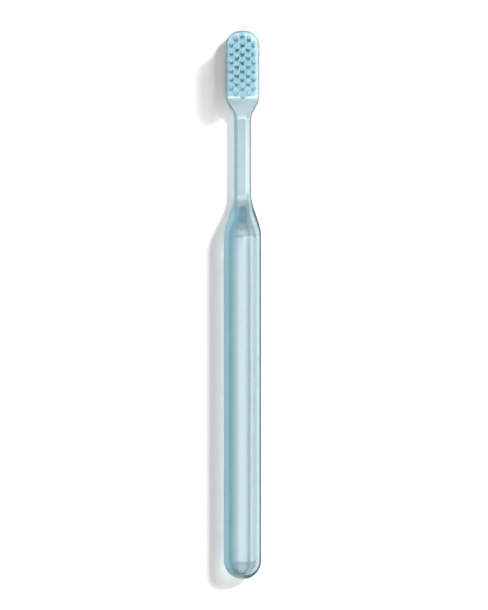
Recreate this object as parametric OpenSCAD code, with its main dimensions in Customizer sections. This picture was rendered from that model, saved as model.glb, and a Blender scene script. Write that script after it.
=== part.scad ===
// Manual toothbrush, lying on its back with the bristles up and the head towards +Y.
// The handle, neck and head are one moulding of clear tinted plastic. Every tuft of bristles
// is folded round a thin metal anchor and driven into its own blind hole in the head.
// The origin is on the resting surface, under the middle of the brush.

/* [Grip] */
// Length of the whole brush, from the round tail to the tip of the head
brush_length = 190; // [175:1:205]
// Diameter of the round grip
grip_d = 13; // [11.5:0.1:14.5]
// Length of the shoulder that draws the grip in to the neck
shoulder_length = 14.9; // [11:0.1:20]

/* [Neck] */
// Length of the slim neck between the shoulder and the head's taper
neck_length = 26.1; // [20:0.1:32]
// Width of the neck, seen from above
neck_w = 6.1; // [5:0.1:7.5]
// Thickness of the neck, seen from the side
neck_t = 4.4; // [3.6:0.1:5.4]
// Height of the neck's underside above the resting surface
neck_rise = 0.8; // [0.3:0.1:1.8]
// Radius of the neck's long edges
neck_edge_r = 2; // [1:0.1:2.4]

/* [Head] */
// Length of the parallel part of the head, with its round tip
head_length = 22.8; // [22:0.1:28]
// Width of the head
head_w = 11.7; // [11:0.1:14]
// Thickness of the head
head_t = 5.3; // [4.8:0.1:6.5]
// Height of the head's underside above the resting surface
head_rise = 1.2; // [0.5:0.1:2.2]
// Corner radius of the head's tip, seen from above
head_tip_r = 5.3; // [4:0.1:5.6]
// Radius of the edge that runs all round the head
head_edge_r = 0.95; // [0.5:0.05:1.2]
// Length over which the head narrows to the neck
taper_length = 7.5; // [6:0.1:12]

/* [Tuft field] */
// Distance from the tip of the head to the middle of the first tuft
first_tuft_setback = 1.95; // [1.8:0.05:2.4]
// Distance from one row of tufts to the next, along the head
row_pitch = 1.49; // [1.4:0.01:1.6]
// Distance from one column of tufts to the next, across the head
column_pitch = 1.96; // [1.85:0.01:2.1]
// Distance of the two tufts next to each end tuft from the middle line
end_pair_spread = 2.3; // [2.1:0.05:2.5]
// How far those pairs stand towards their end of the field, out of the even rows
end_pair_shift = 0.4; // [0:0.05:0.5]

/* [Tufts] */
// Diameter of a tuft at its root
tuft_d = 1.6; // [1.55:0.05:1.8]
// Height of the bristles above the head
tuft_height = 11.3; // [9:0.1:12.5]
// Width of one bristle strand across its flats
strand_w = 0.28; // [0.2:0.01:0.29]
// How far the tips of the outer strands spread beyond their roots
tuft_flare = 0.15; // [0:0.01:0.2]

/* [Tuft holes and anchors] */
// Depth of the blind hole that holds a tuft
hole_depth = 3.4; // [2.8:0.1:3.8]
// Gap between a tuft or an anchor and the plastic round it
fit_gap = 0.02; // [0.01:0.01:0.04]
// How far each end of an anchor bites into the wall of its hole
anchor_bite = 0.17; // [0.1:0.01:0.25]
// Thickness of the anchor strip
anchor_t = 0.25; // [0.2:0.01:0.35]
// Height of an anchor
anchor_h = 1.2; // [0.9:0.1:1.4]
// Height of an anchor above the bottom of its hole, where the folded bristles pass under it
anchor_rise = 0.35; // [0.25:0.05:0.5]
// Turn of the anchors away from the head's long axis, in degrees
anchor_turn = 25; // [0:5:60]

/* [Hidden] */
grip_r = grip_d / 2;
tail_y = -brush_length / 2;
tip_y = brush_length / 2;
head_y = tip_y - head_length;
taper_y = head_y - taper_length;
neck_y = taper_y - neck_length;
shoulder_y = neck_y - shoulder_length;
grip_length = shoulder_y - tail_y;
face_z = head_rise + head_t;
hole_floor_z = face_z - hole_depth;

// The loft starts inside the grip, a hair smaller, so that the two solids meet cleanly
join_inset = 0.02;
join_sink = 1;
// The largest share of a section that its corner radius may take
round_limit_share = 0.97;
tip_r = min(head_tip_r, head_w / 2 * round_limit_share);
tip_flat = head_w / 2 - tip_r;
tip_turn_y = tip_y - tip_r;
// The flats of every section are split where the flat of the tip begins
flat_split_share = tip_flat / (head_w / 2 - head_edge_r);

corner_steps = 7;
shoulder_steps = 12;
taper_steps = 10;
tip_steps = 8;
half_count = 2 * (corner_steps + 1) + 2;
ring_count = 2 * half_count;

tuft_rows = 15;
root_sides = 12;
outer_strands = 7;
inner_strands = 3;
// Clearance of the outer strands inside the root's flats, and between the inner ones
strand_gap = 0.03;
strand_sink = 0.2;
outer_ring_r = tuft_d / 2 * cos(180 / root_sides) - strand_w / 2 - strand_gap;
inner_ring_r = strand_w / 2 * (1 + 1 / tan(180 / inner_strands)) + strand_gap;
// Each tuft's strands are turned a little further round than those of the row before it
row_twist = 17;

anchor_l = tuft_d + 2 * fit_gap + 2 * anchor_bite;
anchor_z = hole_floor_z + anchor_rise;
overrun = 0.5;

plastic_tint = [0.68, 0.83, 0.88, 0.75];
bristle_blue = [0.55, 0.80, 0.87];
anchor_grey = [0.72, 0.73, 0.72];

// Every tuft is [row, offset]: rows count from the tip, offsets are in columns from the middle
tufts = [for (row = [1 : tuft_rows]) for (offset = row_offsets(row)) [row, offset]];

function row_offsets(row) =
    row == 1 || row == tuft_rows ? [0] : row % 2 == 0 ? [-1, 1] : [-2, 0, 2];
function side_name(offset) = offset < 0 ? "left" : offset > 0 ? "right" : "middle";
function tuft_name(t) = str("tuft_row_", t[0], "_", side_name(t[1]));
function end_side(t) = t[0] == 2 ? 1 : t[0] == tuft_rows - 1 ? -1 : 0;
function tuft_x(t) = end_side(t) == 0 ? t[1] * column_pitch : sign(t[1]) * end_pair_spread;
function tuft_y(t) =
    tip_y - first_tuft_setback - (t[0] - 1) * row_pitch + end_side(t) * end_pair_shift;

function mix(a, b, t) = a + (b - a) * t;
function ease(t) = let (u = max(0, min(1, t))) u * u * (3 - 2 * u);
// A size along the moulding: the grip's up to the shoulder, then the neck's, then the head's
function along(y, grip_v, neck_v, head_v) =
    y < taper_y
        ? mix(grip_v, neck_v, ease((y - shoulder_y) / shoulder_length))
        : mix(neck_v, head_v, ease((y - taper_y) / taper_length));

function half_width(y) = along(y, grip_r - join_inset, neck_w / 2, head_w / 2);
function low_z(y) = along(y, join_inset, neck_rise, head_rise);
function high_z(y) = along(y, grip_d - join_inset, neck_rise + neck_t, face_z);
function edge_r(y) =
    min(along(y, grip_r, neck_edge_r, head_edge_r),
        round_limit_share * half_width(y),
        round_limit_share * (high_z(y) - low_z(y)) / 2);

// Right half of a rounded section as [distance from the middle, height], from top to bottom
function half_section(w, low, high, r) =
    let (split = (w - r) * flat_split_share)
    concat(
        [[split, high]],
        [for (k = [0 : corner_steps]) let (a = 90 * k / corner_steps)
            [w - r + r * sin(a), high - r + r * cos(a)]],
        [for (k = [0 : corner_steps]) let (a = 90 * k / corner_steps)
            [w - r + r * cos(a), low + r - r * sin(a)]],
        [[split, low]]);

function section_at(y) = half_section(half_width(y), low_z(y), high_z(y), edge_r(y));
function ring_at(y) =
    let (half = section_at(y))
    concat(
        [for (p = half) [p[0], y, p[1]]],
        [for (k = [half_count - 1 : -1 : 0]) [-half[k][0], y, half[k][1]]]);

// The tip carries the head's half section round its corner on one side, +1 right or -1 left
function tip_points(side) =
    let (half = section_at(tip_turn_y))
    [for (j = [1 : tip_steps]) for (k = [1 : half_count - 2])
        let (a = 90 * j / tip_steps, reach = half[k][0] - tip_flat)
        [side * (tip_flat + reach * cos(a)), tip_turn_y + reach * sin(a), half[k][1]]];

stations = concat(
    [shoulder_y - join_sink],
    [for (i = [0 : shoulder_steps]) shoulder_y + shoulder_length * i / shoulder_steps],
    [for (i = [0 : taper_steps]) taper_y + taper_length * i / taper_steps],
    [tip_turn_y]);

last_ring = (len(stations) - 1) * ring_count;
tip_start = last_ring + ring_count;
side_count = tip_steps * (half_count - 2);

// Point number of the tip's sweep: j steps round the corner, k points down the half section.
// The two ends of the half section stay where they are on the last ring.
function right_index(j, k) =
    k == 0 || k == half_count - 1 || j == 0 ? last_ring + k
        : tip_start + (j - 1) * (half_count - 2) + k - 1;
function left_index(j, k) =
    k == 0 || k == half_count - 1 || j == 0 ? last_ring + ring_count - 1 - k
        : tip_start + side_count + (j - 1) * (half_count - 2) + k - 1;

// Two triangles over a four-sided patch, without the one that has no width
function patch(a, b, c, d) = [if (a != b) [a, b, c], if (c != d) [a, c, d]];

function side_faces() =
    [for (s = [0 : len(stations) - 2]) for (i = [0 : ring_count - 1])
        let (n = (i + 1) % ring_count, low = s * ring_count, high = low + ring_count)
        each patch(low + i, high + i, high + n, low + n)];
function corner_faces() =
    [for (j = [0 : tip_steps - 1]) for (k = [0 : half_count - 2])
        each concat(
            patch(right_index(j, k), right_index(j + 1, k),
                right_index(j + 1, k + 1), right_index(j, k + 1)),
            patch(left_index(j + 1, k), left_index(j, k),
                left_index(j, k + 1), left_index(j + 1, k + 1)))];
function front_faces() =
    [for (k = [0 : half_count - 2])
        each patch(right_index(tip_steps, k), left_index(tip_steps, k),
            left_index(tip_steps, k + 1), right_index(tip_steps, k + 1))];

// Round grip with its hemispherical tail, turned about its own axis
module grip() {
    straight = grip_length - grip_r;
    translate([0, shoulder_y, grip_r]) rotate([90, 0, 0])
        rotate_extrude($fn = 96) intersection() {
            union() {
                translate([-grip_r, 0]) square([grip_d, straight]);
                translate([0, straight]) circle(r = grip_r, $fn = 96);
            }
            square([grip_d, grip_length + overrun]);
        }
}

// Shoulder, neck and head as one loft, with the head's edge carried round the tip
module neck_and_head() {
    polyhedron(
        points = concat(
            [for (y = stations) each ring_at(y)],
            tip_points(1),
            tip_points(-1)),
        faces = concat(
            [[for (i = [0 : ring_count - 1]) i]],
            side_faces(),
            corner_faces(),
            front_faces()),
        convexity = 4);
}

module at_tuft(t) {
    translate([tuft_x(t), tuft_y(t), 0]) children();
}

// An anchor's block where it sits in its hole, grown by a gap on every side
module anchor_block(gap) {
    translate([0, 0, anchor_z - gap]) rotate([0, 0, anchor_turn])
        translate([-anchor_t / 2 - gap, -anchor_l / 2 - gap, 0])
            cube([anchor_t + 2 * gap, anchor_l + 2 * gap, anchor_h + 2 * gap]);
}

module handle() {
    color(plastic_tint) difference() {
        union() {
            grip();
            neck_and_head();
        }
        for (t = tufts) at_tuft(t) {
            translate([0, 0, hole_floor_z])
                cylinder(d = tuft_d + 2 * fit_gap, h = hole_depth + overrun, $fn = 32);
            anchor_block(fit_gap);
        }
    }
}

// One ring of square strands that lean outwards from the root
module strand_ring(count, ring_r) {
    lean = atan(tuft_flare * ring_r / outer_ring_r / tuft_height);
    for (i = [0 : count - 1])
        rotate([0, 0, 360 * i / count]) translate([ring_r, 0, -strand_sink])
            rotate([0, lean, 0]) rotate([0, 0, 45])
                cylinder(d = strand_w * sqrt(2), h = tuft_height + strand_sink, $fn = 4);
}

// A tuft: its strands, fused where the hole packs them into one round root
module tuft(t) {
    color(bristle_blue) at_tuft(t) difference() {
        translate([0, 0, face_z]) {
            translate([0, 0, fit_gap - hole_depth])
                cylinder(d = tuft_d, h = hole_depth - fit_gap, $fn = root_sides);
            rotate([0, 0, row_twist * t[0]]) {
                strand_ring(outer_strands, outer_ring_r);
                strand_ring(inner_strands, inner_ring_r);
            }
        }
        anchor_block(fit_gap);
    }
}

module tuft_anchors() {
    color(anchor_grey) for (t = tufts) at_tuft(t) anchor_block(0);
}

handle();
for (t = tufts) tuft(t);
tuft_anchors();
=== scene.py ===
"""Looks of a slim manual toothbrush in clear blue plastic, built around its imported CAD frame."""

import math

import bpy
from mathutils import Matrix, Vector


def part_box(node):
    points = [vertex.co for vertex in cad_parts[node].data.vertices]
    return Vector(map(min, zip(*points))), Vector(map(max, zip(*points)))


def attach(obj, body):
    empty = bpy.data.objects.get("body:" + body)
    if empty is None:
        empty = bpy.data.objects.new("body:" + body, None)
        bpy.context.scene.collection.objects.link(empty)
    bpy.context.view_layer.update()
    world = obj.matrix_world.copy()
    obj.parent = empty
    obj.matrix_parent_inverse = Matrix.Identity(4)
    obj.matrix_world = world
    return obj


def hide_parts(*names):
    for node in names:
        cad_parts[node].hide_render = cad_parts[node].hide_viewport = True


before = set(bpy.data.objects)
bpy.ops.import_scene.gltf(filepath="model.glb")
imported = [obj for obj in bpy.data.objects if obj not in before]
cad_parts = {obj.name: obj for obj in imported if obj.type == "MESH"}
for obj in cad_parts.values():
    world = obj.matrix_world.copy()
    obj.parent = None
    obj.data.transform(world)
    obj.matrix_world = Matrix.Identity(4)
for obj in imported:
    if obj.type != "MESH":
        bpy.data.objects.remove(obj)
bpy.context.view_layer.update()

MM = 0.001

# Sizes of the moulding and its tufts in millimetres, as in the part's source
BRUSH_LENGTH = 190.0
GRIP_R = 6.5
SHOULDER_LENGTH = 14.9
NECK_LENGTH = 26.1
NECK_W, NECK_T, NECK_RISE, NECK_EDGE_R = 6.1, 4.4, 0.8, 2.0
HEAD_LENGTH = 22.8
HEAD_W, HEAD_T, HEAD_RISE, HEAD_EDGE_R = 11.7, 5.3, 1.2, 0.95
HEAD_TIP_R = 5.3
TAPER_LENGTH = 7.5
TUFT_ROWS = 15
TUFT_D = 1.6
TUFT_HEIGHT = 11.3
HOLE_DEPTH = 3.4
HOLE_GAP = 0.02

TIP_Y = BRUSH_LENGTH / 2
HEAD_Y = TIP_Y - HEAD_LENGTH
TAPER_Y = HEAD_Y - TAPER_LENGTH
NECK_Y = TAPER_Y - NECK_LENGTH
SHOULDER_Y = NECK_Y - SHOULDER_LENGTH
FACE_Z = HEAD_RISE + HEAD_T

# Millimetres that filaments keep off their hole's floor and off the top of the CAD frame's tuft
FILAMENT_GAP = 0.05

# The camera's height and its shift to the right in metres, its sensor in millimetres, and the
# millimetres at the level of the head's face that fill the picture from top to bottom
CAMERA_HEIGHT = 1.2
CAMERA_SHIFT = 0.55 * MM
SENSOR_SIZE = 36
VIEW_HEIGHT = 211.3

# Clear plastic. Its tints lie at the surface and change along the brush. The depth tint is what
# a metre of it takes out of red, green and blue. Its dark edge line is painted shade: it comes in
# over the edge spans, counted from 0 face-on to 1 edge-on, and over the side span of the
# normal's X, which keeps it to the right side
GRIP_TINT = (0.385, 0.6, 0.66)
NECK_TINT = (0.445, 0.61, 0.66)
HEAD_TINT = (0.385, 0.54, 0.59)
EDGE_SHADE_TINT = (0.11, 0.23, 0.3)
EDGE_SPAN, EDGE_SIDE_SPAN = (0.5, 0.72), (-0.2, 0.3)
HEAD_EDGE_SPAN = (0.2, 0.5)
DEPTH_TINT = (13.0, 7.0, 4.8)
CLEARNESS = 0.88
PLASTIC_IOR = 1.49
GLOSS_COAT, COAT_ROUGHNESS = 0.5, 0.05
PLASTIC_ROUGHNESS = (0.03, 0.06)
HAZE_SCALE, HAZE_DETAIL, HAZE_SPAN = 900.0, 3.0, (0.3, 0.7)
PLASTIC_BUMP, RIPPLE_HEIGHT = 0.03, 0.2 * MM
RIPPLE_SCALE, RIPPLE_DETAIL = 160.0, 2.0

# The tint that the bristles' roots lend to the clear head, kept pale as painted light in the
# gaps between the tufts, and the spans in which it comes in, as metres beyond the middles of
# the last tufts, the outermost tufts and the first tufts
ROOTS_AND_GAP_LIGHT_TINT = (0.56, 0.86, 0.96)
ROOTS_LAST = (0.9 * MM, -0.1 * MM)
ROOTS_SIDE = (1.3 * MM, 0.5 * MM)
ROOTS_FIRST = (1.3 * MM, 0.8 * MM)

# Bristles: their colour at the foot, most of the way up and at the cut tip, and the spread of
# shades from filament to filament
BRISTLE_FOOT = (0.40, 0.85, 0.97)
BRISTLE_UPPER, UPPER_AT = (0.42, 0.84, 0.96), 0.98
BRISTLE_TIP = (0.49, 0.76, 0.85)
FILAMENT_SHADES = (0.9, 1.08)
NYLON_ROUGHNESS = (0.3, 0.5)
NYLON_IOR, NYLON_GLOSS = 1.53, 0.25

# Anchors: the grain is much finer upwards, so its streaks run level along the strip
STRIP_DARK, STRIP_BRIGHT = (0.78, 0.80, 0.80), (0.93, 0.94, 0.94)
STRIP_ROUGHNESS = (0.35, 0.55)
GRAIN_SCALE, GRAIN_DETAIL = (900.0, 900.0, 12000.0), 4.0

# The key lamp: its share of the table's brightness, the way to it and its width in radians
KEY_SHARE = 0.66
KEY_WAY = (0.69, 0.57, 1.0)
KEY_SIZE = 0.2

# Diffusers over the brush. Across it they are (degrees from straight up towards the right,
# strength), and along it (how far the way leans towards the tip, from -1 to 1, share of that
# strength). The arch and the front fill light the object; the sheens show only in its gloss
ARCH = ((-75, 0.0), (-60, 0.8), (-40, 2.2), (-8, 2.2), (2, 0.8), (20, 0.6), (45, 1.4), (66, 1.4),
        (76, 0.0))
ARCH_ALONG = ((-0.14, 0.0), (-0.11, 1.0), (0.02, 1.0), (0.035, 0.0))
FRONT_FILL = ((-50, 0.0), (-35, 1.6), (35, 1.6), (50, 0.0))
FRONT_ALONG = ((-0.95, 0.0), (-0.85, 1.0), (-0.4, 1.0), (-0.3, 0.0))
GRIP_SHEEN = ((-76, 0.0), (-68, 0.4), (-53, 2.5), (-40, 4.6), (-27, 7.2), (-15, 8.9), (14, 8.9),
              (22, 7.2), (33, 5.4), (44, 3.0), (58, 8.4), (64, 8.4), (73, 5.4), (80, 5.6),
              (86, 4.5), (92, 6.5))
GRIP_ALONG = ((-0.98, 0.0), (-0.95, 0.5), (-0.6, 0.65), (-0.35, 0.5), (-0.12, 0.6), (-0.08, 1.0),
              (0.02, 1.0), (0.03, 0.45), (0.047, 0.42), (0.054, 0.34), (0.11, 0.38), (0.14, 0.5),
              (0.45, 0.75), (0.7, 0.4), (0.9, 0.25), (0.95, 0.0))
HEAD_SHEEN = ((1, 0.0), (9, 5.5), (66, 5.5), (80, 0.0))
HEAD_ALONG = ((0.02, 0.0), (0.03, 1.15), (0.047, 1.15), (0.056, 0.65), (0.11, 0.65), (0.14, 0.0))

# The room: its light from everywhere, and what clear parts see of it through themselves. That
# is bright low down, by a slope and start for the way's height, and past the brush's ends
ROOM_FILL = 0.1
LOW_SLOPE, LOW_START = -4.0, 1.2
ENDS_FILL, ENDS_SPAN = 0.7, (0.15, 0.4)

# The table. Its lift makes it pure white to the camera and keeps the shadow; the through light
# is what clear parts see of it, dimmed across the touch span as painted shade; the glow is
# painted light added to the shadow
TABLE_HALF, TABLE_DROP = 3.0, 0.02 * MM
TABLE_COLOUR, TABLE_ROUGHNESS = (0.97, 0.94, 0.925), 0.9
TABLE_LIFT, TABLE_THROUGH = 0.05, 0.4
TOUCH_SHARE, TOUCH_SPAN = 0.05, (-1.05 * MM, -0.65 * MM)
GLOW, GLOW_SPAN = (0.04, 0.16), (-10.5 * MM, -6.8 * MM)

# Painted reflections, which only the gloss shows: a dark one right of the brush and past its
# tip, with the spans in which it comes in and goes out again, and a bright one further right
DARK_REFLECTION_COLOUR = (0.13, 0.22, 0.3)
DARK_REFLECTION_IN, DARK_REFLECTION_OUT = (1 * MM, 3 * MM), (16 * MM, 12.5 * MM)
DARK_REFLECTION_TIP_IN, DARK_REFLECTION_TIP_OUT = ((TIP_Y - 1) * MM, (TIP_Y + 1) * MM), (110 * MM, 105 * MM)
BRIGHT_REFLECTION_LIGHT, BRIGHT_REFLECTION_SPAN = 3.8, (18 * MM, 22 * MM)


class Field:
    """A number carried by a node socket. Sums and products of fields add Math nodes to its tree."""

    def __init__(self, tree, socket):
        self.tree = tree
        self.socket = socket

    def math(self, operation, *others):
        made = self.tree.nodes.new("ShaderNodeMath")
        made.operation = operation
        for socket, value in zip(made.inputs, (self, *others)):
            plug(self.tree, socket, value)
        return Field(self.tree, made.outputs[0])

    def __add__(self, other):
        return self.math("ADD", other)

    def __sub__(self, other):
        return self.math("SUBTRACT", other)

    def __mul__(self, other):
        return self.math("MULTIPLY", other)

    def __truediv__(self, other):
        return self.math("DIVIDE", other)

    def clamped(self, low, high):
        return self.math("MAXIMUM", low).math("MINIMUM", high)

    def flipped(self):
        """One minus this number."""
        return self * -1.0 + 1.0

    def ramped(self, span, low=0.0, high=1.0, smooth=False):
        """Goes from low to high while this number crosses the span, and is level beyond it."""
        made = node(self.tree, "ShaderNodeMapRange",
                    {0: self, 1: span[0], 2: span[1], 3: low, 4: high},
                    interpolation_type="SMOOTHSTEP" if smooth else "LINEAR")
        return Field(self.tree, made.outputs[0])


def plug(tree, socket, value):
    """Links a field or another node's output to the socket, or sets it to a plain value."""
    if isinstance(value, Field):
        tree.links.new(value.socket, socket)
    elif hasattr(value, "is_output"):
        tree.links.new(value, socket)
    else:
        socket.default_value = value


def node(tree, kind, values=None, **settings):
    """Adds a node, with its settings, and its inputs plugged by name or number."""
    made = tree.nodes.new(kind)
    for name, value in settings.items():
        setattr(made, name, value)
    for key, value in (values or {}).items():
        plug(tree, made.inputs[key], value)
    return made


def parts_of(tree, vector):
    """X, Y and Z of a vector socket, as fields."""
    split = node(tree, "ShaderNodeSeparateXYZ", {0: vector})
    return [Field(tree, split.outputs[axis]) for axis in "XYZ"]


def rays(tree):
    """Fields that are 1 for camera rays, for rays through a clear part and for mirrored rays."""
    path = node(tree, "ShaderNodeLightPath")
    camera = Field(tree, path.outputs["Is Camera Ray"])
    through = Field(tree, path.outputs["Is Transmission Ray"])
    mirrored = Field(tree, path.outputs["Is Glossy Ray"]) * through.flipped()
    return camera, through, mirrored


def new_shape_tree(name, sizes):
    """A geometry tree with a named input for each size, and those inputs as fields."""
    tree = bpy.data.node_groups.new(name, "GeometryNodeTree")
    tree.interface.new_socket(name="Geometry", in_out="OUTPUT", socket_type="NodeSocketGeometry")
    kinds = {float: "NodeSocketFloat", int: "NodeSocketInt",
             bpy.types.Material: "NodeSocketMaterial"}
    for label, value in sizes.items():
        kind = next(k for cls, k in kinds.items() if isinstance(value, cls))
        tree.interface.new_socket(name=label, in_out="INPUT", socket_type=kind)
    entry = tree.nodes.new("NodeGroupInput")
    fields = {label: Field(tree, entry.outputs[label]) for label in sizes}
    return tree, fields


def end_tree(tree, geometry, material):
    """Every tree ends in realized instances with their material set."""
    real = node(tree, "GeometryNodeRealizeInstances", {"Geometry": geometry})
    painted = node(tree, "GeometryNodeSetMaterial",
                   {"Geometry": real.outputs[0], "Material": material})
    leave = tree.nodes.new("NodeGroupOutput")
    tree.links.new(painted.outputs[0], leave.inputs["Geometry"])


def shaped_piece(name, tree, sizes, material):
    """Runs a shape tree with its sizes and keeps the result as a plain mesh object."""
    carrier = bpy.data.objects.new(name + "_carrier", bpy.data.meshes.new(name + "_carrier"))
    bpy.context.scene.collection.objects.link(carrier)
    modifier = carrier.modifiers.new("shape", "NODES")
    modifier.node_group = tree
    for item in tree.interface.items_tree:
        if item.in_out == "INPUT":
            modifier[item.identifier] = sizes[item.name]
    evaluated = carrier.evaluated_get(bpy.context.evaluated_depsgraph_get())
    mesh = bpy.data.meshes.new_from_object(evaluated)
    bpy.data.objects.remove(carrier)
    mesh.name = name
    if not mesh.materials:
        mesh.materials.append(material)
    piece = bpy.data.objects.new(name, mesh)
    bpy.context.scene.collection.objects.link(piece)
    return piece


def row_offsets(row):
    """Tufts of a row, in columns from the middle line. The first and last row hold one."""
    if row in (1, TUFT_ROWS):
        return [0]
    return [-1, 1] if row % 2 == 0 else [-2, 0, 2]


def tuft_nodes():
    """Names of the CAD frame's tufts, row by row from the tip of the head."""
    names = {-1: "left", 0: "middle", 1: "right"}
    return [f"tuft_row_{row}_{names[(k > 0) - (k < 0)]}"
            for row in range(1, TUFT_ROWS + 1) for k in row_offsets(row)]


def tuft_places():
    """Middle of each tuft as (x, y) in metres, read off the CAD frame's own tufts."""
    places = []
    for name in tuft_nodes():
        low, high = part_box(name)
        places.append(((low.x + high.x) / 2, (low.y + high.y) / 2))
    return places


def new_material(name):
    """A new material, with its tree and that tree's Principled shader."""
    material = bpy.data.materials.new(name)
    material.use_nodes = True
    tree = material.node_tree
    return material, tree, tree.nodes["Principled BSDF"]


def object_place(tree):
    """Object coordinates, which are the frame's own because every piece stands at its origin."""
    return node(tree, "ShaderNodeTexCoord").outputs["Object"]


def noise(tree, vector, scale, detail):
    """Soft noise over the vector, as a field around a half."""
    made = node(tree, "ShaderNodeTexNoise", {"Vector": vector, "Scale": scale, "Detail": detail})
    return Field(tree, made.outputs[0])


def blend(tree, share, start, end):
    """Mixes two colours, each of which is a socket or a tuple of red, green and blue."""
    first, second = ((*c, 1) if isinstance(c, tuple) else c for c in (start, end))
    mixed = node(tree, "ShaderNodeMix", {0: share, "A": first, "B": second}, data_type="RGBA")
    return mixed.outputs[2]


def roots_and_gap_light_area(tree, x, y):
    """Is 1 among the tufts, whose roots colour the clear head round them and where painted light
    brightens the gaps, and 0 away from them.
    """
    spots = tuft_places()
    last, first = min(y for x, y in spots), max(y for x, y in spots)
    widest = max(x for x, y in spots)
    near = y.ramped([last - reach for reach in ROOTS_LAST], smooth=True)
    away = x.math("ABSOLUTE").ramped([widest + reach for reach in ROOTS_SIDE], smooth=True)
    short = y.ramped([first + reach for reach in ROOTS_FIRST])
    return near * away * short


def clear_blue_plastic():
    """Glossy clear plastic with a faint haze and ripple.

    It is tinted part by part at its surface and a little more in its depth, and a dark line of
    painted shade follows its edges.
    """
    material, tree, shader = new_material("clear blue plastic")
    place = object_place(tree)
    x, y = parts_of(tree, place)[:2]
    roots = roots_and_gap_light_area(tree, x, y)
    thin = y.ramped((SHOULDER_Y * MM, NECK_Y * MM), smooth=True)
    head = y.ramped((TAPER_Y * MM, HEAD_Y * MM), smooth=True)
    body = blend(tree, thin, GRIP_TINT, NECK_TINT)
    body = blend(tree, head, body, HEAD_TINT)
    # Among the tufts the head takes the roots' blue, kept pale as painted light in the gaps between
    # the tufts
    body = blend(tree, roots, body, ROOTS_AND_GAP_LIGHT_TINT)

    # Painted shade: the dark edge line runs along the right of the grip and neck, and all round the
    # head
    layers = node(tree, "ShaderNodeLayerWeight", {"Blend": 0.5})
    facing = Field(tree, layers.outputs["Facing"])
    surface = node(tree, "ShaderNodeNewGeometry")
    rightward = parts_of(tree, surface.outputs["Normal"])[0].ramped(EDGE_SIDE_SPAN)
    rim = head * facing.ramped(HEAD_EDGE_SPAN) * roots.flipped()
    line = (rightward * facing.ramped(EDGE_SPAN, smooth=True)).math("MAXIMUM", rim)
    plug(tree, shader.inputs["Base Color"], blend(tree, line, body, EDGE_SHADE_TINT))

    shader.inputs["Transmission Weight"].default_value = CLEARNESS
    shader.inputs["IOR"].default_value = PLASTIC_IOR
    shader.inputs["Coat Weight"].default_value = GLOSS_COAT
    shader.inputs["Coat Roughness"].default_value = COAT_ROUGHNESS
    haze = noise(tree, place, HAZE_SCALE, HAZE_DETAIL)
    plug(tree, shader.inputs["Roughness"], haze.ramped(HAZE_SPAN, *PLASTIC_ROUGHNESS))
    ripple = noise(tree, place, RIPPLE_SCALE, RIPPLE_DETAIL)
    bump = node(tree, "ShaderNodeBump", {"Height": ripple, "Strength": PLASTIC_BUMP,
                                         "Distance": RIPPLE_HEIGHT})
    plug(tree, shader.inputs["Normal"], bump.outputs[0])
    # Absorption takes (1 - colour) times the density out of each channel
    density = max(DEPTH_TINT)
    depth = node(tree, "ShaderNodeVolumeAbsorption", {
        "Color": (*(1 - part / density for part in DEPTH_TINT), 1), "Density": density})
    tree.links.new(depth.outputs[0], tree.nodes["Material Output"].inputs["Volume"])
    return material


def bristle_nylon():
    """Satin blue nylon, a shade for each filament, greyer and a little frosted at the cut tip."""
    material, tree, shader = new_material("bristle nylon")
    height = parts_of(tree, object_place(tree))[2]
    height = height.ramped((FACE_Z * MM, (FACE_Z + TUFT_HEIGHT) * MM))
    tint = node(tree, "ShaderNodeValToRGB", {"Fac": height})
    stops = tint.color_ramp.elements
    stops[0].color = (*BRISTLE_FOOT, 1)
    stops[1].color = (*BRISTLE_TIP, 1)
    stops.new(UPPER_AT).color = (*BRISTLE_UPPER, 1)
    shade = node(tree, "ShaderNodeAttribute", attribute_name="filament_shade")
    vary = Field(tree, shade.outputs["Fac"]).ramped((0.0, 1.0), *FILAMENT_SHADES)
    tone = node(tree, "ShaderNodeHueSaturation", {"Value": vary, "Color": tint.outputs[0]})
    plug(tree, shader.inputs["Base Color"], tone.outputs[0])
    plug(tree, shader.inputs["Roughness"], height.ramped((0.0, 1.0), *NYLON_ROUGHNESS))
    shader.inputs["IOR"].default_value = NYLON_IOR
    shader.inputs["Specular IOR Level"].default_value = NYLON_GLOSS
    return material


def anchor_metal():
    """Thin nickel silver strip, brushed along its length by rolling."""
    material, tree, shader = new_material("anchor metal")
    shader.inputs["Metallic"].default_value = 1.0
    along = node(tree, "ShaderNodeMapping", {"Vector": object_place(tree), "Scale": GRAIN_SCALE})
    grain = noise(tree, along.outputs[0], 1.0, GRAIN_DETAIL)
    tint = node(tree, "ShaderNodeValToRGB", {"Fac": grain})
    tint.color_ramp.elements[0].color = (*STRIP_DARK, 1)
    tint.color_ramp.elements[1].color = (*STRIP_BRIGHT, 1)
    plug(tree, shader.inputs["Base Color"], tint.outputs[0])
    plug(tree, shader.inputs["Roughness"], grain.ramped((0.0, 1.0), *STRIP_ROUGHNESS))
    return material


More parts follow.
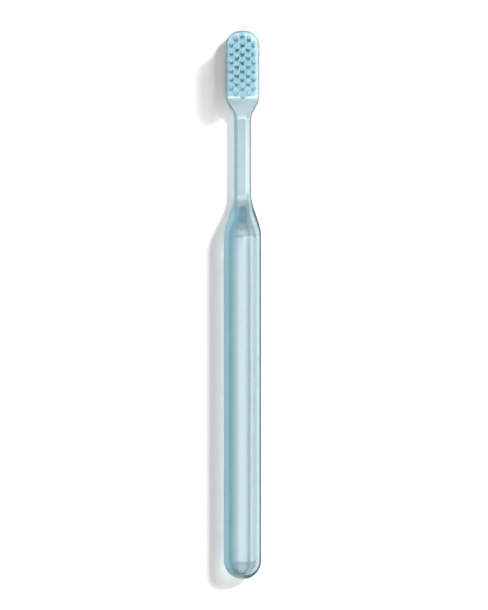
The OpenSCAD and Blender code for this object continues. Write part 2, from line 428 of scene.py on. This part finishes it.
def handle_tree(sizes):
    """One loft from the round tail to the tip of the head, drilled with the tuft holes.

    A grid is wrapped round the brush. Its rows go up the tail's half sphere, along the body,
    round the head's tip, and the last row closes the tip on the middle line. Its columns go
    round the section, from the middle of the top down to the middle of the bottom and back.
    """
    tree, size = new_shape_tree("toothbrush handle", sizes)
    tail_rows, tip_rows = size["Tail rows"], size["Tip rows"]
    body_rows, corner_steps = size["Body rows"], size["Corner steps"]

    # Beside the rows of tail, body and tip there are the very first row and the closing one.
    # Half a section is two corners, each with two steps on its flat, and one step down the side
    rows = tail_rows + body_rows + tip_rows + 2.0
    half_columns = corner_steps * 2.0 + 5.0
    columns = half_columns * 2.0 + 1.0
    grid = node(tree, "GeometryNodeMeshGrid", {"Size X": rows - 1.0, "Size Y": columns - 1.0,
                                               "Vertices X": rows, "Vertices Y": columns})
    grid_x, grid_y = parts_of(tree, node(tree, "GeometryNodeInputPosition").outputs[0])[:2]
    row = (grid_x + (rows - 1.0) * 0.5).math("ROUND")
    column = (grid_y + half_columns).math("ROUND")

    # Where a row stands along the brush
    quarter = math.pi / 2
    tail_turn = (row.clamped(0.0, tail_rows) / tail_rows) * -quarter + quarter
    tail_y = size["Brush length"] * -0.5 + size["Grip radius"]
    tip_turn_y = size["Brush length"] * 0.5 - size["Tip radius"]
    body = (row - tail_rows).clamped(0.0, body_rows) / body_rows
    body_y = tail_y + (tip_turn_y - tail_y) * body
    tip_turn = (row - tail_rows - body_rows).clamped(0.0, tip_rows) / tip_rows * quarter
    closing = (row - tail_rows - body_rows - tip_rows).clamped(0.0, 1.0)

    # Sizes of the section there: each eases from the grip's to the neck's, then to the head's
    shoulder_span = (size["Shoulder start"], size["Shoulder start"] + size["Shoulder length"])
    taper_span = (size["Taper start"], size["Taper start"] + size["Taper length"])

    def along(grip, neck, head):
        return (body_y.ramped(shoulder_span, grip, neck, smooth=True)
                + body_y.ramped(taper_span, 0.0, head - neck, smooth=True))

    grip_r = size["Grip radius"]
    half_w = along(grip_r, size["Neck width"] * 0.5, size["Head width"] * 0.5)
    low = along(0.0, size["Neck rise"], size["Head rise"])
    high = along(grip_r * 2.0, size["Neck rise"] + size["Neck thickness"],
                 size["Head rise"] + size["Head thickness"])
    half_t = (high - low) * 0.5
    edge = along(grip_r, size["Neck edge radius"], size["Head edge radius"])
    edge = edge.math("MINIMUM", half_w).math("MINIMUM", half_t)
    shrink = tail_turn.math("COSINE")
    flat = size["Head width"] * 0.5 - size["Tip radius"]
    flat_share = flat / (size["Head width"] * 0.5 - size["Head edge radius"])

    # Where a column stands round the section: 0 at a pole, 1 where the tip's flat ends, then
    # round the corner in equal steps
    side = (half_columns - column).math("SIGN")
    level = (half_columns - column).math("ABSOLUTE")
    level = half_columns - level
    upper = (half_columns * 0.5 - level).math("SIGN")
    level = level.math("MINIMUM", half_columns - level)
    corner = (level - 2.0).clamped(0.0, corner_steps) / corner_steps * quarter
    spread = (level.clamped(0.0, 1.0) * flat_share
              + (level - 1.0).clamped(0.0, 1.0) * flat_share.flipped())
    reach = ((half_w - edge) * spread + edge * corner.math("SINE")) * shrink
    rise = (half_t - edge + edge * corner.math("COSINE")) * shrink

    inner = reach.math("MINIMUM", flat)
    outer = reach - inner
    x = side * (inner * closing.flipped() + outer * tip_turn.math("COSINE"))
    y = body_y - grip_r * tail_turn.math("SINE") + outer * tip_turn.math("SINE")
    z = (high + low) * 0.5 + upper * rise
    place = node(tree, "ShaderNodeCombineXYZ", {0: x, 1: y, 2: z})
    wrapped = node(tree, "GeometryNodeSetPosition", {"Geometry": grid.outputs["Mesh"],
                                                     "Position": place.outputs[0]})
    closed = node(tree, "GeometryNodeMergeByDistance", {"Geometry": wrapped.outputs[0],
                                                        "Distance": size["Weld distance"]})

    # Tuft holes: a cylinder from the hole's floor to above the face, at each tuft's place
    drill_length = size["Hole depth"] * size["Drill length in hole depths"]
    drill = node(tree, "GeometryNodeMeshCylinder", {
        "Vertices": size["Hole sides"], "Radius": size["Hole radius"], "Depth": drill_length})
    floor_z = size["Head rise"] + size["Head thickness"] - size["Hole depth"]
    lift = node(tree, "ShaderNodeCombineXYZ", {2: floor_z + drill_length * 0.5})
    drills = node(tree, "GeometryNodeJoinGeometry")
    for tuft_x, tuft_y in tuft_places():
        spot = node(tree, "ShaderNodeVectorMath", {0: lift.outputs[0], 1: (tuft_x, tuft_y, 0)},
                    operation="ADD")
        moved = node(tree, "GeometryNodeTransform", {"Geometry": drill.outputs["Mesh"],
                                                     "Translation": spot.outputs[0]})
        tree.links.new(moved.outputs[0], drills.inputs[0])
    drilled = node(tree, "GeometryNodeMeshBoolean", {"Mesh 1": closed.outputs[0],
                                                     "Mesh 2": drills.outputs[0]},
                   operation="DIFFERENCE", solver="EXACT")
    bend = node(tree, "GeometryNodeInputMeshEdgeAngle")
    crisp = node(tree, "FunctionNodeCompare", {0: bend.outputs["Unsigned Angle"],
                                               1: size["Crisp from angle"]},
                 data_type="FLOAT", operation="GREATER_THAN")
    smooth = node(tree, "GeometryNodeSetShadeSmooth", {"Geometry": drilled.outputs["Mesh"],
                                                       "Shade Smooth": True}, domain="FACE")
    sharp = node(tree, "GeometryNodeSetShadeSmooth", {"Geometry": smooth.outputs[0],
                                                      "Selection": crisp.outputs[0],
                                                      "Shade Smooth": False}, domain="EDGE")
    end_tree(tree, sharp.outputs[0], size["Plastic"])
    return tree


def build_handle(material):
    sizes = {
        "Brush length": BRUSH_LENGTH * MM,
        "Grip radius": GRIP_R * MM,
        "Shoulder start": SHOULDER_Y * MM,
        "Shoulder length": SHOULDER_LENGTH * MM,
        "Neck width": NECK_W * MM,
        "Neck thickness": NECK_T * MM,
        "Neck rise": NECK_RISE * MM,
        "Neck edge radius": NECK_EDGE_R * MM,
        "Taper start": TAPER_Y * MM,
        "Taper length": TAPER_LENGTH * MM,
        "Head width": HEAD_W * MM,
        "Head thickness": HEAD_T * MM,
        "Head rise": HEAD_RISE * MM,
        "Head edge radius": HEAD_EDGE_R * MM,
        "Tip radius": HEAD_TIP_R * MM,
        "Hole radius": (TUFT_D / 2 + HOLE_GAP) * MM,
        "Hole depth": HOLE_DEPTH * MM,
        "Hole sides": 32,
        "Drill length in hole depths": 1.3,
        "Tail rows": 20,
        "Body rows": 320,
        "Tip rows": 18,
        "Corner steps": 20,
        "Weld distance": 0.002 * MM,
        "Crisp from angle": 0.6,
        "Plastic": material,
    }
    piece = shaped_piece("handle_moulding", handle_tree(sizes), sizes, material)
    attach(piece, "root")
    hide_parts("handle")


def tuft_tree(sizes):
    """A tuft of round filaments packed in a hole, fanning out a little towards their tips."""
    tree, size = new_shape_tree("bristle tuft", sizes)
    sides, rings = size["Filament sides"], size["Filament rings"]

    # One filament: a grid rolled up, with its last rings drawn in to a rounded tip
    grid = node(tree, "GeometryNodeMeshGrid", {"Size X": sides, "Size Y": rings,
                                               "Vertices X": sides + 1.0,
                                               "Vertices Y": rings + 1.0})
    grid_x, grid_y = parts_of(tree, node(tree, "GeometryNodeInputPosition").outputs[0])[:2]
    turn = grid_x / sides * (2 * math.pi)
    ring = grid_y + rings * 0.5
    dome_rings = size["Dome rings"]
    stem = (ring / (rings - dome_rings)).clamped(0.0, 1.0)
    dome = (ring - rings + dome_rings).clamped(0.0, dome_rings) / dome_rings * (math.pi / 2)
    radius = size["Filament radius"] * dome.math("COSINE")
    length = size["Filament length"]
    z = (length - size["Filament radius"]) * stem + size["Filament radius"] * dome.math("SINE")
    rolled = node(tree, "ShaderNodeCombineXYZ", {0: radius * turn.math("COSINE"),
                                                 1: radius * turn.math("SINE"), 2: z})
    tube = node(tree, "GeometryNodeSetPosition", {"Geometry": grid.outputs["Mesh"],
                                                  "Position": rolled.outputs[0]})
    tube = node(tree, "GeometryNodeMergeByDistance", {"Geometry": tube.outputs[0],
                                                      "Distance": size["Weld distance"]})

    # Places of the filaments: an even spiral over the tuft's round, a little disturbed
    index = Field(tree, node(tree, "GeometryNodeInputIndex").outputs[0])
    count = size["Filaments"]
    golden = math.pi * (3 - math.sqrt(5))
    shift = node(tree, "FunctionNodeRandomValue", {"Min": (-1, -1, -1), "Max": (1, 1, 1),
                                                   "Seed": size["Seed"]},
                 data_type="FLOAT_VECTOR")
    shift_x, shift_y, shift_z = parts_of(tree, shift.outputs[0])
    pack = size["Tuft radius"] - size["Filament radius"] - size["Disorder"]
    share = ((index + 0.5) / count).math("SQRT")
    angle = index * golden + size["Seed"] * size["Turn from tuft to tuft"]
    x = pack * share * angle.math("COSINE") + size["Disorder"] * shift_x
    y = pack * share * angle.math("SINE") + size["Disorder"] * shift_y
    root = node(tree, "ShaderNodeCombineXYZ", {0: x, 1: y, 2: 0.0})
    points = node(tree, "GeometryNodePoints", {"Count": count, "Position": root.outputs[0]})
    trim = shift_z * size["Trim spread"] + 1.0 - size["Trim spread"]
    grow = node(tree, "ShaderNodeCombineXYZ", {0: 1.0, 1: 1.0, 2: trim})
    placed = node(tree, "GeometryNodeInstanceOnPoints", {"Points": points.outputs[0],
                                                         "Instance": tube.outputs[0],
                                                         "Scale": grow.outputs[0]})
    shade = node(tree, "FunctionNodeRandomValue", {2: 0.0, 3: 1.0,
                                                   "Seed": size["Seed"] + size["Shade seed"]},
                 data_type="FLOAT")
    noted = node(tree, "GeometryNodeStoreNamedAttribute",
                 {"Geometry": placed.outputs[0], "Name": "filament_shade",
                  "Value": shade.outputs[1]}, data_type="FLOAT", domain="INSTANCE")
    real = node(tree, "GeometryNodeRealizeInstances", {"Geometry": noted.outputs[0]})

    # The fan: above the head's face every point moves out, more and more towards the tips
    where = node(tree, "GeometryNodeInputPosition").outputs[0]
    above = (parts_of(tree, where)[2] - size["Hole depth"]) / (length - size["Hole depth"])
    fan = above.clamped(0.0, 1.0).math("POWER", size["Fan curve"]) * size["Fan"] / pack + 1.0
    out = node(tree, "ShaderNodeCombineXYZ", {0: fan, 1: fan, 2: 1.0})
    fanned = node(tree, "ShaderNodeVectorMath", {0: where, 1: out.outputs[0]},
                  operation="MULTIPLY")
    base = node(tree, "ShaderNodeCombineXYZ", {0: size["Place x"], 1: size["Place y"],
                                               2: size["Base height"]})
    stood = node(tree, "ShaderNodeVectorMath", {0: fanned.outputs[0], 1: base.outputs[0]},
                 operation="ADD")
    whole = node(tree, "GeometryNodeSetPosition", {"Geometry": real.outputs[0],
                                                   "Position": stood.outputs[0]})
    smooth = node(tree, "GeometryNodeSetShadeSmooth", {"Geometry": whole.outputs[0],
                                                       "Shade Smooth": True})
    end_tree(tree, smooth.outputs[0], size["Nylon"])
    return tree


def build_bristles(material):
    sizes = {
        "Tuft radius": TUFT_D / 2 * MM,
        "Filament radius": 0.098 * MM,
        "Filament length": (TUFT_HEIGHT + HOLE_DEPTH - 2 * FILAMENT_GAP) * MM,
        "Hole depth": HOLE_DEPTH * MM,
        "Base height": (FACE_Z - HOLE_DEPTH + FILAMENT_GAP) * MM,
        "Fan": 0.02 * MM,
        "Fan curve": 1.5,
        "Disorder": 0.025 * MM,
        "Trim spread": 0.004,
        "Filaments": 48,
        "Filament sides": 6,
        "Filament rings": 7,
        "Dome rings": 2,
        "Weld distance": 0.001 * MM,
        "Place x": 0.0,
        "Place y": 0.0,
        "Turn from tuft to tuft": 0.7,
        "Seed": 0,
        "Shade seed": 100,
        "Nylon": material,
    }
    tree = tuft_tree(sizes)
    for number, (name, (x, y)) in enumerate(zip(tuft_nodes(), tuft_places())):
        sizes.update({"Place x": x, "Place y": y, "Seed": number})
        piece = shaped_piece(name.replace("tuft", "bristles"), tree, sizes, material)
        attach(piece, "root")
        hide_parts(name)


def white_table():
    """White to the camera, with the brush's shadow kept and a painted glow in it. Clear parts see
    it dimmer.

    In the gloss it also shows painted reflections: a dark one, which gives the clear edges their
    dark line, and a bright one beyond that.
    """
    material, tree, shader = new_material("white table")
    shader.inputs["Roughness"].default_value = TABLE_ROUGHNESS
    shader.inputs["Specular IOR Level"].default_value = 0.0
    shader.inputs["Emission Color"].default_value = (1, 1, 1, 1)
    camera, through, mirrored = rays(tree)
    x, y = parts_of(tree, object_place(tree))[:2]

    # Painted reflections, seen only by mirrored rays: a dark one near the brush, a bright one
    # beyond
    dark_reflection = (x.ramped(DARK_REFLECTION_IN).math("MAXIMUM", y.ramped(DARK_REFLECTION_TIP_IN)) * x.ramped(DARK_REFLECTION_OUT)
            * y.ramped(DARK_REFLECTION_TIP_OUT) * mirrored)
    plug(tree, shader.inputs["Base Color"], blend(tree, dark_reflection, TABLE_COLOUR, DARK_REFLECTION_COLOUR))
    bright_reflection = x.ramped(BRIGHT_REFLECTION_SPAN, 0.0, BRIGHT_REFLECTION_LIGHT)

    # Painted shade: the grip touches the table along its middle, and right of that line the table
    # is made to look dark through the grip. This fades out along the shoulder
    touch_shade = x.ramped(TOUCH_SPAN, 1.0, TOUCH_SHARE)
    beyond = y.ramped((SHOULDER_Y * MM, NECK_Y * MM))
    touch_shade = node(tree, "ShaderNodeMix", {0: beyond, 2: touch_shade, 3: 1.0})
    # Painted light: a glow that stands for light coming through the clear grip and neck, which
    # brightens their shadow close to them
    glow = x.ramped(GLOW_SPAN, *GLOW)
    below_head = y.ramped((TAPER_Y * MM, HEAD_Y * MM), 1.0, 0.0)
    lift = glow * below_head + TABLE_LIFT
    plug(tree, shader.inputs["Emission Strength"],
         camera * lift + through * TABLE_THROUGH * Field(tree, touch_shade.outputs[0])
         + mirrored * (bright_reflection + lift) * dark_reflection.flipped())
    return material


def build_floor(material):
    """The table, a hair below the brush."""
    mesh = bpy.data.meshes.new("table")
    corners = ((-1, -1), (1, -1), (1, 1), (-1, 1))
    mesh.from_pydata([(x * TABLE_HALF, y * TABLE_HALF, 0) for x, y in corners], [],
                     [(0, 1, 2, 3)])
    mesh.materials.append(material)
    floor = bpy.data.objects.new("table", mesh)
    bpy.context.scene.collection.objects.link(floor)
    floor.location.z = -TABLE_DROP


def falloff(tree, value, stops):
    """Light that follows straight lines between its stops, which lie between -1 and 1."""
    strongest = max(light for place, light in stops)
    ramp = node(tree, "ShaderNodeValToRGB", {"Fac": value * 0.5 + 0.5})
    elements = ramp.color_ramp.elements
    elements[0].color = elements[1].color = (0, 0, 0, 1)
    for place, light in stops:
        elements.new(place * 0.5 + 0.5).color = (*[light / strongest] * 3, 1)
    return Field(tree, ramp.outputs[0]) * strongest


def build_key_lamp():
    """A soft lamp at the photo's upper right, far enough away to light the table evenly."""
    toward = Vector(KEY_WAY).normalized()
    lamp = bpy.data.lights.new("key lamp", "SUN")
    lamp.angle = KEY_SIZE
    # At this strength a white table under the lamp reaches the key's share of full white
    lamp.energy = KEY_SHARE * math.pi / toward.z
    stand = bpy.data.objects.new("key lamp", lamp)
    stand.rotation_euler = toward.to_track_quat("Z", "Y").to_euler()
    stand.visible_glossy = False
    bpy.context.scene.collection.objects.link(stand)


def build_room():
    """The world: white to the camera, with arched diffusers over the brush for the other rays."""
    world = bpy.data.worlds.new("arched diffuser")
    world.use_nodes = True
    bpy.context.scene.world = world
    tree = world.node_tree
    room = tree.nodes["Background"]
    way = node(tree, "ShaderNodeTexCoord").outputs["Generated"]
    right, tipward, up = parts_of(tree, way)
    lean = right.math("ARCTAN2", up) / math.pi

    def panel(across, along):
        stops = [(angle / 180, light) for angle, light in across]
        return falloff(tree, lean, stops) * falloff(tree, tipward, along)

    camera, through, mirrored = rays(tree)
    low = (up * LOW_SLOPE + LOW_START).clamped(0.0, 1.0)
    # Clear parts seen from the ends also find the room bright
    ends = tipward.math("ABSOLUTE").ramped(ENDS_SPAN, 0.0, ENDS_FILL)
    light = ((panel(ARCH, ARCH_ALONG) + panel(FRONT_FILL, FRONT_ALONG)) * mirrored.flipped()
             + ROOM_FILL
             + mirrored * (panel(GRIP_SHEEN, GRIP_ALONG) + panel(HEAD_SHEEN, HEAD_ALONG))
             + through * low.math("MAXIMUM", ends))
    plug(tree, room.inputs["Strength"], light.math("MAXIMUM", camera))
    room.inputs["Color"].default_value = (1, 1, 1, 1)


def build_camera():
    """Straight above the brush, with the head at the top, as in the photo."""
    camera = bpy.data.cameras.new("photo camera")
    camera.sensor_width = SENSOR_SIZE
    camera.lens = SENSOR_SIZE * (CAMERA_HEIGHT - FACE_Z * MM) / (VIEW_HEIGHT * MM)
    eye = bpy.data.objects.new("photo camera", camera)
    eye.location = (CAMERA_SHIFT, 0, CAMERA_HEIGHT)
    bpy.context.scene.collection.objects.link(eye)
    bpy.context.scene.camera = eye


def main():
    bpy.context.scene.view_settings.view_transform = "Standard"
    build_camera()
    build_key_lamp()
    build_room()
    build_floor(white_table())
    build_handle(clear_blue_plastic())
    build_bristles(bristle_nylon())
    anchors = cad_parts["tuft_anchors"]
    anchors.data.materials.clear()
    anchors.data.materials.append(anchor_metal())


main()
